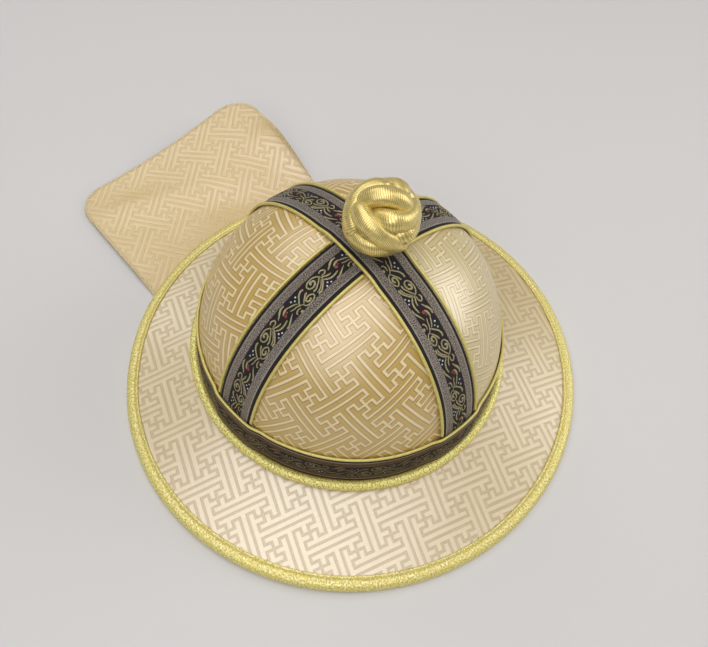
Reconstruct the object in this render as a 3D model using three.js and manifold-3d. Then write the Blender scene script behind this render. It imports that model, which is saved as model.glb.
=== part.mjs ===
// A Mongolian brimmed hat, lying on a flat surface with its neck flap spread out behind it.
//
// A stiff domed crown of four gores stands on a shallow sloping brim. Two woven ribbons cross on
// the crown, a third one stands round its foot as the hat band, and a fat gold button knot sits on
// the crossing. Gold piping edges every ribbon, a gold cord hides the seam between crown and brim,
// and a folded gold binding wraps the brim's edge. The flap is sewn under the brim at the back.
//
// Millimetres, +Z up, front towards -Y, the surface that the hat lies on at z = 0.

import * as THREE from 'three';
import { mergeVertices } from 'three/addons/utils/BufferGeometryUtils.js';
import Module from 'manifold-3d';

const wasm = await Module();
wasm.setup();

// Sizes of the hat, in its own frame with the crown's axis at x = y = 0

const gap = 0.3;

const crown = {
  radius: 91.5,
  footZ: 12.3,
  topZ: 116.6,
  wall: 2.5,
  sideSquareness: 2.11,
  topSquareness: 2.67,
  sides: 40,
  rows: 9,
};

const brim = {
  halfWidth: 144,
  halfLength: 138.4,
  forward: 8.8,
  thickness: 3,
  innerTopZ: 16,
  edgeTopZ: 4.6,
  hollow: 0.04,
  sides: 56,
};

const binding = { width: 7.5, cloth: 1, channel: 1.6, foot: 3.2 };

const ribbon = { width: 23, cloth: 0.8, endZ: 24, steps: 26, strips: 3 };

// Each ribbon runs a little askew: shift is its distance from the axis, turn its angle in degrees
const frontBackRibbon = { shift: 0.4, turn: -1 };
const sideRibbon = { shift: -3.1, turn: 91.9 };

const piping = { radius: 1, sides: 6, endZ: 48.6, steps: 26 };
const cord = { radius: 2.9, sides: 8 };
const band = { bottomZ: 22.6, topZ: 44.8, cloth: 0.8 };

const knot = {
  x: 2.6,
  y: -7.9,
  lean: [-49.3, 23.3, -17.6].map(THREE.MathUtils.degToRad),
  strandRadius: 5.8,
  coreRadius: 11.2,
  weave: 4.6,
  latitude: 0.95,
  squash: 0.95,
  leads: 3,
  bights: 4,
  lengths: 8,
  stepsPerLength: 6,
  sides: 8,
};

const flap = {
  left: -71.5,
  right: 75.5,
  farY: 218,
  seamRadius: 97,
  cloth: 1.5,
  cornerRadius: 22,
  columns: 14,
  hiddenRows: 3,
  openRows: 10,
};

// How far the flap's underside stands off the surface, from the brim's edge (0) to its far hem (1)
const flapHeights = [
  { along: 0.0, left: 0.2, middle: 0.2, right: 0.2 },
  { along: 0.2, left: 2.2, middle: 3.6, right: 5.5 },
  { along: 0.42, left: 3.4, middle: 5.4, right: 15 },
  { along: 0.64, left: 2.8, middle: 4.2, right: 23 },
  { along: 0.82, left: 1.2, middle: 2.8, right: 25 },
  { along: 1.0, left: 0.0, middle: 2.4, right: 24 },
];

const colours = {
  damask: { color: 0xe3cfa4, roughness: 0.45, metalness: 0.0 },
  ribbon: { color: 0x4a4444, roughness: 0.6, metalness: 0.1 },
  gold: { color: 0xd2b750, roughness: 0.35, metalness: 0.55 },
};

// Solids

function material(name) {
  return new THREE.MeshStandardMaterial({ name, ...colours[name] });
}

// Welds a geometry's vertices, drops its collapsed triangles and turns its faces outwards.
function weld(geometry) {
  const bare = new THREE.BufferGeometry();
  bare.setAttribute('position', geometry.getAttribute('position'));
  if (geometry.index) bare.setIndex(geometry.index);
  const merged = mergeVertices(bare, 1e-4);
  const position = merged.getAttribute('position');
  const kept = [];
  let sixVolumes = 0;
  const corners = [new THREE.Vector3(), new THREE.Vector3(), new THREE.Vector3()];
  for (let i = 0; i < merged.index.count; i += 3) {
    const triangle = [0, 1, 2].map((k) => merged.index.getX(i + k));
    if (new Set(triangle).size < 3) continue;
    kept.push(triangle);
    corners.forEach((corner, k) => corner.fromBufferAttribute(position, triangle[k]));
    sixVolumes += corners[0].dot(corners[1].clone().cross(corners[2]));
  }
  const facing = sixVolumes < 0 ? kept.map(([a, b, c]) => [a, c, b]) : kept;
  merged.setIndex(facing.flat());
  return merged;
}

function toSolid(geometry) {
  const welded = weld(geometry);
  return new wasm.Manifold(
    new wasm.Mesh({
      numProp: 3,
      vertProperties: new Float32Array(welded.getAttribute('position').array),
      triVerts: new Uint32Array(welded.index.array),
    }),
  );
}

function toGeometry(solid) {
  const mesh = solid.getMesh();
  const geometry = new THREE.BufferGeometry();
  geometry.setAttribute('position', new THREE.BufferAttribute(mesh.vertProperties, 3));
  geometry.setIndex(new THREE.BufferAttribute(mesh.triVerts, 1));
  return geometry;
}

function piece(name, geometry, materialName) {
  const shown = weld(geometry);
  shown.computeVertexNormals();
  const mesh = new THREE.Mesh(shown, material(materialName));
  mesh.name = name;
  return mesh;
}

// A sheet with thickness: pointAt(u, v, side) gives its face (side 0) and its back (side 1).
// A round sheet closes on itself along u.
function sheetGeometry(columns, rows, pointAt, round = false) {
  const positions = [];
  const across = round ? columns : columns + 1;
  for (const side of [0, 1]) {
    for (let i = 0; i < across; i++) {
      for (let j = 0; j <= rows; j++) {
        positions.push(...pointAt(i / columns, j / rows, side).toArray());
      }
    }
  }
  const index = [];
  const at = (side, i, j) => side * across * (rows + 1) + (i % across) * (rows + 1) + j;
  const quad = (a, b, c, d) => index.push(a, b, c, a, c, d);
  for (let i = 0; i < columns; i++) {
    for (let j = 0; j < rows; j++) {
      quad(at(0, i, j), at(0, i + 1, j), at(0, i + 1, j + 1), at(0, i, j + 1));
      quad(at(1, i, j), at(1, i, j + 1), at(1, i + 1, j + 1), at(1, i + 1, j));
    }
    quad(at(0, i, 0), at(1, i, 0), at(1, i + 1, 0), at(0, i + 1, 0));
    quad(at(0, i + 1, rows), at(1, i + 1, rows), at(1, i, rows), at(0, i, rows));
  }
  for (let j = 0; j < rows && !round; j++) {
    quad(at(0, 0, j + 1), at(1, 0, j + 1), at(1, 0, j), at(0, 0, j));
    quad(at(0, columns, j), at(1, columns, j), at(1, columns, j + 1), at(0, columns, j + 1));
  }
  const geometry = new THREE.BufferGeometry();
  geometry.setAttribute('position', new THREE.Float32BufferAttribute(positions, 3));
  geometry.setIndex(index);
  return geometry;
}

// A closed section carried round the hat: sectionAt(angle) gives its corners in order.
function ringGeometry(sides, sectionAt) {
  const sections = [];
  for (let i = 0; i < sides; i++) sections.push(sectionAt((i / sides) * Math.PI * 2));
  const count = sections[0].length;
  const index = [];
  for (let i = 0; i < sides; i++) {
    for (let k = 0; k < count; k++) {
      const a = i * count + k;
      const b = i * count + ((k + 1) % count);
      const c = ((i + 1) % sides) * count + ((k + 1) % count);
      const d = ((i + 1) % sides) * count + k;
      index.push(a, b, c, a, c, d);
    }
  }
  const geometry = new THREE.BufferGeometry();
  const positions = sections.flat().flatMap((point) => point.toArray());
  geometry.setAttribute('position', new THREE.Float32BufferAttribute(positions, 3));
  geometry.setIndex(index);
  return geometry;
}

function latheGeometry(profile, sides) {
  const closed = [...profile, profile[0]].map(([radius, z]) => new THREE.Vector2(radius, z));
  return new THREE.LatheGeometry(closed, sides).rotateX(Math.PI / 2);
}

function tubeGeometry(points, radius, sides, steps) {
  const section = new THREE.Shape();
  section.absarc(0, 0, radius, 0, Math.PI * 2);
  return new THREE.ExtrudeGeometry(section, {
    extrudePath: new THREE.CatmullRomCurve3(points),
    steps,
    curveSegments: sides / 2,
  });
}

// Crown: a rounded dome, and points that stand a given height off it

function crownProfile(offset) {
  const points = [];
  for (let i = 0; i <= crown.rows; i++) {
    const turn = (i / crown.rows) * (Math.PI / 2);
    const out = i === crown.rows ? 0 : Math.cos(turn) ** (2 / crown.sideSquareness);
    const up = Math.sin(turn) ** (2 / crown.topSquareness);
    const rise = crown.topZ - crown.footZ + offset;
    points.push([(crown.radius + offset) * out, crown.footZ + rise * up]);
  }
  return points;
}

function crownRadiusAt(z, offset) {
  const up = (z - crown.footZ) / (crown.topZ - crown.footZ + offset);
  return (crown.radius + offset) * (1 - up ** crown.topSquareness) ** (1 / crown.sideSquareness);
}

// The point of the dome, standing off it by offset, that a ray in the plane at the given sideways
// place meets. The ray leaves the plane's foot point and turns from straight up by angle.
function domePoint(sideways, angle, offset) {
  const radius = crown.radius + offset;
  const rise = crown.topZ - crown.footZ + offset;
  let near = 0;
  let far = radius + rise;
  for (let i = 0; i < 40; i++) {
    const reach = (near + far) / 2;
    const out = Math.hypot(sideways, reach * Math.sin(angle)) / radius;
    const up = (reach * Math.cos(angle)) / rise;
    const inside = out ** crown.sideSquareness + up ** crown.topSquareness < 1;
    if (inside) near = reach;
    else far = reach;
  }
  return new THREE.Vector3(sideways, near * Math.sin(angle), crown.footZ + near * Math.cos(angle));
}

function crownGores() {
  const outside = crownProfile(0);
  const inside = crownProfile(-crown.wall).reverse();
  const shell = toSolid(latheGeometry([...outside, ...inside], crown.sides));
  const quarters = [
    { name: 'crown_gore_front_right', x: 1, y: -1 },
    { name: 'crown_gore_front_left', x: -1, y: -1 },
    { name: 'crown_gore_back_left', x: -1, y: 1 },
    { name: 'crown_gore_back_right', x: 1, y: 1 },
  ];
  const reach = 2 * crown.radius;
  const middle = reach / 2 + gap / 2;
  return quarters.map(({ name, x, y }) => {
    const block = new THREE.BoxGeometry(reach, reach, 2 * crown.topZ);
    block.translate(x * middle, y * middle, crown.topZ);
    return piece(name, toGeometry(shell.intersect(toSolid(block))), 'damask');
  });
}

// Brim: a shallow cone from the crown's foot to an oval edge that stands further out in front

function brimReach(angle) {
  const x = Math.sin(angle) / brim.halfWidth;
  const y = Math.cos(angle) / brim.halfLength;
  const shift = -brim.forward / brim.halfLength;
  // Distance from the axis to the oval, angle turning from straight back towards +X
  const a = x * x + y * y;
  const b = -y * shift;
  const c = shift * shift - 1;
  return (-b + Math.sqrt(b * b - a * c)) / a;
}

// The brim's edge is lifted where the flap passes under it.
function edgeLift(angle) {
  const fromBack = Math.abs(Math.atan2(Math.sin(angle), Math.cos(angle)));
  const fade = THREE.MathUtils.smoothstep(fromBack, 0.66, 1.05);
  return (flap.cloth + 2 * gap - 0.1) * (1 - fade);
}

const brimInnerRadius = crown.radius + gap + 0.2;

function brimTopZ(angle, radius) {
  const share = (radius - brimInnerRadius) / (brimReach(angle) - brimInnerRadius);
  const eased = share + brim.hollow * Math.sin(Math.PI * share);
  return THREE.MathUtils.lerp(brim.innerTopZ, brim.edgeTopZ + edgeLift(angle), eased);
}

function polar(angle, radius, z) {
  return new THREE.Vector3(radius * Math.sin(angle), radius * Math.cos(angle), z);
}

function brimPlate() {
  const rows = 4;
  const pointAt = (u, v, side) => {
    const angle = u * Math.PI * 2;
    const edge = brimReach(angle) - binding.channel - gap;
    const radius = THREE.MathUtils.lerp(brimInnerRadius, edge, v);
    return polar(angle, radius, brimTopZ(angle, radius) - side * brim.thickness);
  };
  return piece('brim', sheetGeometry(brim.sides, rows, pointAt, true), 'damask');
}

// The binding is a strip of cloth folded over the brim's edge, with a flat foot to rest on.
function brimBinding() {
  const sectionAt = (angle) => {
    const edge = brimReach(angle);
    const lift = edgeLift(angle);
    const lip = edge - binding.width;
    const lipTop = brimTopZ(angle, lip) + gap;
    const lipBottom = brimTopZ(angle, lip) - brim.thickness - gap;
    const slotTop = brimTopZ(angle, edge - binding.channel) + gap;
    const slotBottom = slotTop - brim.thickness - 2 * gap;
    const middle = lift + brim.edgeTopZ / 2;
    const corners = [
      [lip, lipTop],
      [lip + 0.6, lipTop + binding.cloth],
      [edge - 1.2, slotTop + binding.cloth],
      [edge, middle + 1],
      [edge, middle - 1],
      [edge - 1, lift],
      [edge - 1 - binding.foot, lift],
      [lip, lipBottom - binding.cloth],
      [lip, lipBottom],
      [edge - binding.channel, slotBottom],
      [edge - binding.channel, slotTop],
    ];
    return corners.map(([radius, z]) => polar(angle, radius, z));
  };
  return piece('brim_binding', ringGeometry(brim.sides, sectionAt), 'gold');
}

// Cord and band round the crown's foot

function baseCord() {
  const radius = crownRadiusAt(band.bottomZ, 0) + gap + 0.2 + cord.radius;
  const geometry = new THREE.TorusGeometry(radius, cord.radius, cord.sides, brim.sides);
  geometry.translate(0, 0, brim.innerTopZ + gap + cord.radius);
  return piece('base_cord', geometry, 'gold');
}

const bandStandOff = ribbon.cloth + 2 * gap + 0.2;

function hatBand() {
  const wall = (z, outward) => [crownRadiusAt(z, 0) + bandStandOff + outward, z];
  const middleZ = (band.bottomZ + band.topZ) / 2;
  const profile = [
    wall(band.bottomZ, 0),
    wall(band.bottomZ, band.cloth),
    wall(middleZ, band.cloth),
    wall(band.topZ, band.cloth),
    wall(band.topZ, 0),
    wall(middleZ, 0),
  ];
  return piece('hat_band', latheGeometry(profile, brim.sides), 'ribbon');
}

function bandPiping() {
  const radius = crownRadiusAt(band.topZ, 0) + bandStandOff + band.cloth;
  const geometry = new THREE.TorusGeometry(radius, piping.radius, piping.sides, brim.sides);
  geometry.translate(0, 0, band.topZ + gap + piping.radius);
  return piece('band_piping', geometry, 'gold');
}

// Crossed ribbons and their piping. Each is made running front to back, then turned into place.

const halfRibbon = ribbon.width / 2;

// The front-to-back ribbon climbs over the side one where they cross.
function climb(along) {
  const clear = halfRibbon + 4;
  const fade = THREE.MathUtils.smoothstep(Math.abs(along - sideRibbon.shift), clear, clear + 9);
  return (ribbon.cloth + gap + 0.15) * (1 - fade);
}

// Angle, in the plane at the given sideways place, where the dome is at a given height.
function angleAtHeight(sideways, z) {
  const along = Math.sqrt(crownRadiusAt(z, 0) ** 2 - sideways ** 2);
  return Math.atan2(along, z - crown.footZ);
}

// Angle, in the same plane, where the dome is a given way along.
function angleAlong(sideways, along) {
  return Math.atan2(along, domePoint(sideways, 0, 0).z - crown.footZ);
}

function ribbonGeometry(shift, climbing) {
  const pointAt = (u, v, side) => {
    const sideways = shift + (v - 0.5) * ribbon.width;
    const end = angleAtHeight(sideways, ribbon.endZ);
    const angle = THREE.MathUtils.lerp(-end, end, u);
    const along = domePoint(sideways, angle, gap).y;
    const offset = gap + 0.05 + (climbing ? climb(along) : 0);
    return domePoint(sideways, angle, offset + (1 - side) * ribbon.cloth);
  };
  return sheetGeometry(ribbon.steps, ribbon.strips, pointAt);
}

// Piping runs along a ribbon's edge from one angle to another.
function pipingGeometry(sideways, from, to, steps, climbing) {
  const points = [];
  for (let i = 0; i <= steps; i++) {
    const angle = THREE.MathUtils.lerp(from, to, i / steps);
    const along = domePoint(sideways, angle, gap).y;
    const offset = gap + 0.1 + piping.radius + (climbing ? climb(along) : 0);
    points.push(domePoint(sideways, angle, offset));
  }
  return tubeGeometry(points, piping.radius, piping.sides, steps);
}

const pipingPlace = halfRibbon + gap + piping.radius;

function frontBackPieces() {
  const { shift, turn } = frontBackRibbon;
  const turned = new THREE.Group();
  turned.rotation.z = THREE.MathUtils.degToRad(turn);
  turned.add(piece('ribbon_front_back', ribbonGeometry(shift, true), 'ribbon'));
  for (const [side, sign] of [['left', -1], ['right', 1]]) {
    const place = shift + sign * pipingPlace;
    const end = angleAtHeight(place, piping.endZ);
    const geometry = pipingGeometry(place, -end, end, piping.steps, true);
    turned.add(piece(`piping_front_back_${side}`, geometry, 'gold'));
  }
  return turned;
}

function sidePieces() {
  const { shift, turn } = sideRibbon;
  const turned = new THREE.Group();
  turned.rotation.z = THREE.MathUtils.degToRad(turn);
  turned.add(piece('ribbon_side', ribbonGeometry(shift, false), 'ribbon'));
  const skew = THREE.MathUtils.degToRad(turn - 90 - frontBackRibbon.turn);
  for (const [row, edge] of [['front', -1], ['back', 1]]) {
    for (const [side, sign] of [['left', 1], ['right', -1]]) {
      const place = shift + edge * pipingPlace;
      // The piping stops short of the front-to-back ribbon's own piping
      const clear = pipingPlace + 2 * piping.radius - 0.3;
      const crossing = -frontBackRibbon.shift - place * Math.tan(skew);
      const from = angleAlong(place, sign * clear + crossing);
      const to = sign * angleAtHeight(place, piping.endZ);
      const geometry = pipingGeometry(place, from, to, piping.steps / 2, false);
      turned.add(piece(`piping_side_${row}_${side}`, geometry, 'gold'));
    }
  }
  return turned;
}

// Button knot: one padded strand woven round a ball, three leads by four bights

function knotPoint(turn) {
  const around = knot.leads * turn;
  const latitude = knot.latitude * Math.sin(knot.bights * turn);
  const radius = knot.coreRadius + knot.weave * Math.sin(2 * knot.bights * turn);
  return new THREE.Vector3(
    radius * Math.cos(latitude) * Math.cos(around),
    radius * Math.cos(latitude) * Math.sin(around),
    radius * Math.sin(latitude) * knot.squash,
  );
}

function strandLength(number) {
  const step = (Math.PI * 2) / (knot.lengths * knot.stepsPerLength);
  const points = [];
  const first = number * knot.stepsPerLength;
  for (let i = 0; i <= knot.stepsPerLength + 1; i++) points.push(knotPoint((first + i) * step));
  return tubeGeometry(points, knot.strandRadius, knot.sides, knot.stepsPerLength + 1);
}

function buttonKnot() {
  let solid = toSolid(new THREE.SphereGeometry(knot.coreRadius, 12, 8));
  for (let i = 0; i < knot.lengths; i++) solid = solid.add(toSolid(strandLength(i)));
  const geometry = toGeometry(solid);
  geometry.applyMatrix4(new THREE.Matrix4().makeRotationFromEuler(new THREE.Euler(...knot.lean)));
  geometry.computeBoundingBox();
  const ribbonTopZ = crown.topZ + 2 * (gap + ribbon.cloth) + 0.25;
  geometry.translate(knot.x, knot.y, ribbonTopZ + gap - geometry.boundingBox.min.z);
  return piece('button_knot', geometry, 'gold');
}

// Neck flap: sewn along the crown's foot, down under the brim, out over the surface

function flapFarEdge(x) {
  const inward = Math.min(x - flap.left, flap.right - x);
  const short = Math.max(0, flap.cornerRadius - inward);
  return flap.farY - flap.cornerRadius + Math.sqrt(flap.cornerRadius ** 2 - short ** 2);
}

function flapColumn(u) {
  // Columns crowd towards the rounded corners
  const eased = (1 - Math.cos(Math.PI * u)) / 2;
  return THREE.MathUtils.lerp(flap.left, flap.right, THREE.MathUtils.lerp(u, eased, 0.75));
}

// A smooth curve through the table's rows for one column, at a share of the way along
function heightAlong(column, share) {
  const curve = new THREE.CatmullRomCurve3(
    flapHeights.map((row) => new THREE.Vector3(row.along, row[column], 0)),
    false,
    'centripetal',
  );
  const rows = flapHeights.length - 1;
  const next = flapHeights.findIndex((row) => row.along >= share);
  if (next <= 0) return flapHeights[0][column];
  const before = flapHeights[next - 1];
  const part = (share - before.along) / (flapHeights[next].along - before.along);
  return Math.max(0, curve.getPoint((next - 1 + part) / rows).y);
}

function flapHeight(x, share) {
  const across = (2 * (x - flap.left)) / (flap.right - flap.left) - 1;
  const [left, middle, right] = ['left', 'middle', 'right'].map((c) => heightAlong(c, share));
  const tilt = (right - left) / 2;
  const bow = (right + left) / 2 - middle;
  return Math.max(0, middle + tilt * across + bow * across * across);
}

function flapPoint(u, v, side) {
  const x = flapColumn(u);
  const seamY = Math.sqrt(flap.seamRadius ** 2 - x * x);
  const edgeY =
    -brim.forward + brim.halfLength * Math.sqrt(1 - (x / brim.halfWidth) ** 2);
  const hidden = flap.hiddenRows / (flap.hiddenRows + flap.openRows);
  const cloth = (1 - side) * flap.cloth;
  if (v <= hidden) {
    const y = THREE.MathUtils.lerp(seamY, edgeY, v / hidden);
    const angle = Math.atan2(x, y);
    const seamZ = brimTopZ(angle, flap.seamRadius) - brim.thickness - gap - flap.cloth;
    const down = Math.min(1, (1.5 * v) / hidden);
    return new THREE.Vector3(x, y, THREE.MathUtils.lerp(seamZ, flapHeights[0].middle, down) + cloth);
  }
  const share = (v - hidden) / (1 - hidden);
  const y = THREE.MathUtils.lerp(edgeY, flapFarEdge(x), share);
  return new THREE.Vector3(x, y, flapHeight(x, share) + cloth);
}

function neckFlap() {
  const rows = flap.hiddenRows + flap.openRows;
  return piece('neck_flap', sheetGeometry(flap.columns, rows, flapPoint), 'damask');
}

// The hat stands so that the middle of its footprint, flap included, is at the origin.
const hat = new THREE.Group();
const brimFront = brim.forward + brim.halfLength;
hat.position.y = (brimFront - flap.farY) / 2;
hat.add(...crownGores(), brimPlate(), brimBinding(), baseCord(), hatBand(), bandPiping());
hat.add(frontBackPieces(), sidePieces(), buttonKnot(), neckFlap());

export default hat;
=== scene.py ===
# A Mongolian hat of gold damask, lying on its brim with the neck flap spread out behind it.
#
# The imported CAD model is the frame. The whole hat is cloth, so each piece is made again here in
# the space that its solid holds. Sizes are millimetres in the hat's own frame, with the crown's
# axis at x = y = 0 and the front towards -Y; build() turns them into Blender's metres.

from math import atan2, cos, dist, floor, hypot, pi, radians, remainder, sin, sqrt, tan

import bpy
from mathutils import Matrix, Vector, noise


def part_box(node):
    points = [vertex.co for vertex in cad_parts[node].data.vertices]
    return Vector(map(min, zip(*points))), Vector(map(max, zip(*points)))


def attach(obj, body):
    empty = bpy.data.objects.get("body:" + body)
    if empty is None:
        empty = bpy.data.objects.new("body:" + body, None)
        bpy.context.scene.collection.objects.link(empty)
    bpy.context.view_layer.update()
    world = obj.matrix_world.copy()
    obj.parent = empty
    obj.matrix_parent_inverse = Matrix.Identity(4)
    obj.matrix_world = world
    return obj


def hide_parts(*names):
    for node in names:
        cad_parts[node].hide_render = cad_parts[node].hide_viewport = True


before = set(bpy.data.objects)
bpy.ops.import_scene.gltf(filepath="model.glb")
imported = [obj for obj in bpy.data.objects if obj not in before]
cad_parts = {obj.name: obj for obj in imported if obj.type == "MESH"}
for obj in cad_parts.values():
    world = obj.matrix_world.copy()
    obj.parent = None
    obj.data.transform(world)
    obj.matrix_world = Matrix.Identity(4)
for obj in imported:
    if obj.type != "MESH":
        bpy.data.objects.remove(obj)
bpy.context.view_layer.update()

# Crown: four gores of damask over a stiff interlining, sewn into one dome. Their seams run under
# the two ribbons that cross on top, and each gore is cut with the weave lying its own way.

# A pale gore is drawn in the damask with painted sheen
crown_gores = [
    {"node": "crown_gore_front_right", "faces": -45, "pale": True},
    {"node": "crown_gore_front_left", "faces": -135, "pale": False},
    {"node": "crown_gore_back_left", "faces": 135, "pale": False},
    {"node": "crown_gore_back_right", "faces": 45, "pale": False},
]
gore_boxes = [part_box(gore["node"]) for gore in crown_gores]
crown_radius = 1000 * max(high.x for low, high in gore_boxes)
crown_foot = 1000 * min(low.z for low, high in gore_boxes)
crown_top = 1000 * max(high.z for low, high in gore_boxes)
crown_y = 500 * (min(low.y for low, high in gore_boxes) + max(high.y for low, high in gore_boxes))
crown_wall = 2.5
side_squareness = 2.11
top_squareness = 2.67
seam_gap = 0.3

# How the damask lies on each piece: where its fret starts, how far it is turned, how much it is
# stretched over the form, and how much it leans
fret_lay = {
    "crown_gore_front_right": dict(x=44.6, y=18.4, turn=44.6, wide=1.07, tall=1.04, lean=-0.06),
    "crown_gore_front_left": dict(x=31.8, y=17.5, turn=43.0, wide=1.01, tall=0.98, lean=-0.01),
    "crown_gore_back_left": dict(x=18.1, y=21.6, turn=-49.5, wide=0.99, tall=1.07, lean=0.07),
    "crown_gore_back_right": dict(x=10.0, y=20.0, turn=-45.0, wide=1.0, tall=1.0, lean=0.0),
    "brim": dict(x=24.8, y=8.6, turn=-16.4, wide=0.99, tall=1.0, lean=0.055),
    "neck_flap": dict(x=30.3, y=3.0, turn=42.7, wide=1.0, tall=1.04, lean=0.045),
}


def on_cloth(name, x, y):
    """Where a point of the finished piece was on the flat cloth, in millimetres."""
    lay = fret_lay[name]
    turn = radians(lay["turn"])
    x -= lay["x"]
    y -= lay["y"]
    along = (y * cos(turn) - x * sin(turn)) / lay["tall"]
    across = x * cos(turn) + y * sin(turn)
    return (across / lay["wide"] - lay["lean"] * along, along)


def sheet(columns, rows, point_at, place_at, closed=False):
    """A piece of cloth with thickness. point_at(u, v, side) gives its face, side 0, and its back,
    side 1; place_at(u, v) gives the place on the flat cloth. A closed sheet is a ring along u."""
    across = columns if closed else columns + 1
    points = [
        point_at(i / columns, j / rows, side)
        for side in (0, 1)
        for i in range(across)
        for j in range(rows + 1)
    ]
    faces = []

    def corner(side, i, j):
        number = (side * across + i % across) * (rows + 1) + j
        return number, place_at(i / columns, j / rows)

    def quad(side, *ends):
        faces.append(([corner(*end) for end in ends], side))

    for i in range(columns):
        for j in range(rows):
            quad(0, (0, i, j), (0, i + 1, j), (0, i + 1, j + 1), (0, i, j + 1))
            quad(1, (1, i, j), (1, i, j + 1), (1, i + 1, j + 1), (1, i + 1, j))
        quad(1, (0, i, 0), (1, i, 0), (1, i + 1, 0), (0, i + 1, 0))
        quad(0, (0, i + 1, rows), (1, i + 1, rows), (1, i, rows), (0, i, rows))
    for j in range(0 if closed else rows):
        quad(0, (0, 0, j + 1), (1, 0, j + 1), (1, 0, j), (0, 0, j))
        quad(0, (0, columns, j), (1, columns, j), (1, columns, j + 1), (0, columns, j + 1))
    return points, faces


def build(name, points, faces, materials, nodes=(), crease=50):
    """Makes a piece out of points in millimetres and faces of (corners, material number), where
    each corner is (point number, place on the cloth), and hides the CAD nodes it stands for."""
    mesh = bpy.data.meshes.new(name)
    placed = [(0.001 * x, 0.001 * (y + crown_y), 0.001 * z) for x, y, z in points]
    mesh.from_pydata(placed, [], [[number for number, place in corners] for corners, kind in faces])
    layer = mesh.uv_layers.new(name="cloth")
    places = [place for corners, kind in faces for number, place in corners]
    layer.data.foreach_set("uv", [value for place in places for value in place])
    mesh.polygons.foreach_set("material_index", [kind for corners, kind in faces])
    for material in materials:
        mesh.materials.append(material)
    mesh.validate()
    mesh.shade_smooth()
    mesh.set_sharp_from_angle(angle=radians(crease))
    piece = bpy.data.objects.new(name, mesh)
    bpy.context.collection.objects.link(piece)
    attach(piece, "root")
    if nodes:
        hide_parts(*nodes)
    return piece


def put(value, socket):
    """Feeds a node's input with a number, a colour or another node's output."""
    if isinstance(value, bpy.types.NodeSocket):
        socket.id_data.links.new(value, socket)
    elif isinstance(value, tuple):
        socket.default_value = (*value, 1.0)
    else:
        socket.default_value = value


def add_node(kind, *values):
    """Adds a node to the tree that the first socket among the values belongs to."""
    beside = next(value for value in values if isinstance(value, bpy.types.NodeSocket))
    return beside.id_data.nodes.new(kind)


def calc(operation, *values):
    """Adds a math node and gives its result; the values are numbers or other nodes' outputs."""
    node = add_node("ShaderNodeMath", *values)
    node.operation = operation
    for socket, value in zip(node.inputs, values):
        put(value, socket)
    return node.outputs[0]


def ramp(value, low, high, from_value=0.0, to_value=1.0):
    """Eases from one value to another as the input goes from low to high."""
    node = add_node("ShaderNodeMapRange", value)
    node.interpolation_type = "SMOOTHSTEP"
    for socket, number in zip(node.inputs, (value, low, high, from_value, to_value)):
        put(number, socket)
    return node.outputs[0]


def blend_colours(share, first, second, way="MIX"):
    """Mixes two colours, each a tuple or another node's output."""
    node = add_node("ShaderNodeMix", share, first)
    node.data_type = "RGBA"
    node.blend_type = way
    put(share, node.inputs["Factor"])
    put(first, node.inputs[6])
    put(second, node.inputs[7])
    return node.outputs[2]


def across_and_along(place):
    """The two distances of a place on the cloth."""
    node = add_node("ShaderNodeSeparateXYZ", place)
    put(place, node.inputs[0])
    return node.outputs["X"], node.outputs["Y"]


def speckle(place, across, along, detail=2.0):
    """Noise whose spots are across by along millimetres on the cloth."""
    stretch = add_node("ShaderNodeVectorMath", place)
    stretch.operation = "DIVIDE"
    stretch.inputs[1].default_value = (across, along, 1.0)
    put(place, stretch.inputs[0])
    node = add_node("ShaderNodeTexNoise", place)
    put(1.0, node.inputs["Scale"])
    put(detail, node.inputs["Detail"])
    put(stretch.outputs[0], node.inputs["Vector"])
    return node.outputs["Fac"]


def new_group(name, inputs, outputs):
    """An empty shader node group with number inputs and outputs, and the place on the cloth."""
    group = bpy.data.node_groups.new(name, "ShaderNodeTree")
    group.interface.new_socket("Cloth", in_out="INPUT", socket_type="NodeSocketVector")
    for label, default in inputs:
        socket = group.interface.new_socket(label, in_out="INPUT", socket_type="NodeSocketFloat")
        socket.default_value = default
    for label in outputs:
        group.interface.new_socket(label, in_out="OUTPUT", socket_type="NodeSocketFloat")
    given = group.nodes.new("NodeGroupInput").outputs
    return group, given, group.nodes.new("NodeGroupOutput").inputs


# Lines of one motif of the woven key fret, in fret units. The half below it is the same turned
# half round, and its neighbours are its mirror images, so the lines run on from motif to motif.
fret_lines = [
    {"x": 0.0, "y": 0.0, "half_x": 1.0, "half_y": 0.0},
    {"x": 0.0, "y": 0.5, "half_x": 0.0, "half_y": 0.5},
    {"x": 0.5, "y": 1.0, "half_x": 0.5, "half_y": 0.0},
    {"x": 1.0, "y": 1.5, "half_x": 0.0, "half_y": 0.5},
    {"x": -0.75, "y": 2.0, "half_x": 1.75, "half_y": 0.0},
    {"x": -1.0, "y": 0.5, "half_x": 0.0, "half_y": 0.5},
    {"x": -1.5, "y": 1.0, "half_x": 0.5, "half_y": 0.0},
    {"x": 2.0, "y": 1.25, "half_x": 0.0, "half_y": 1.25},
    {"x": -2.0, "y": 0.5, "half_x": 0.0, "half_y": 0.5},
]


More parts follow.
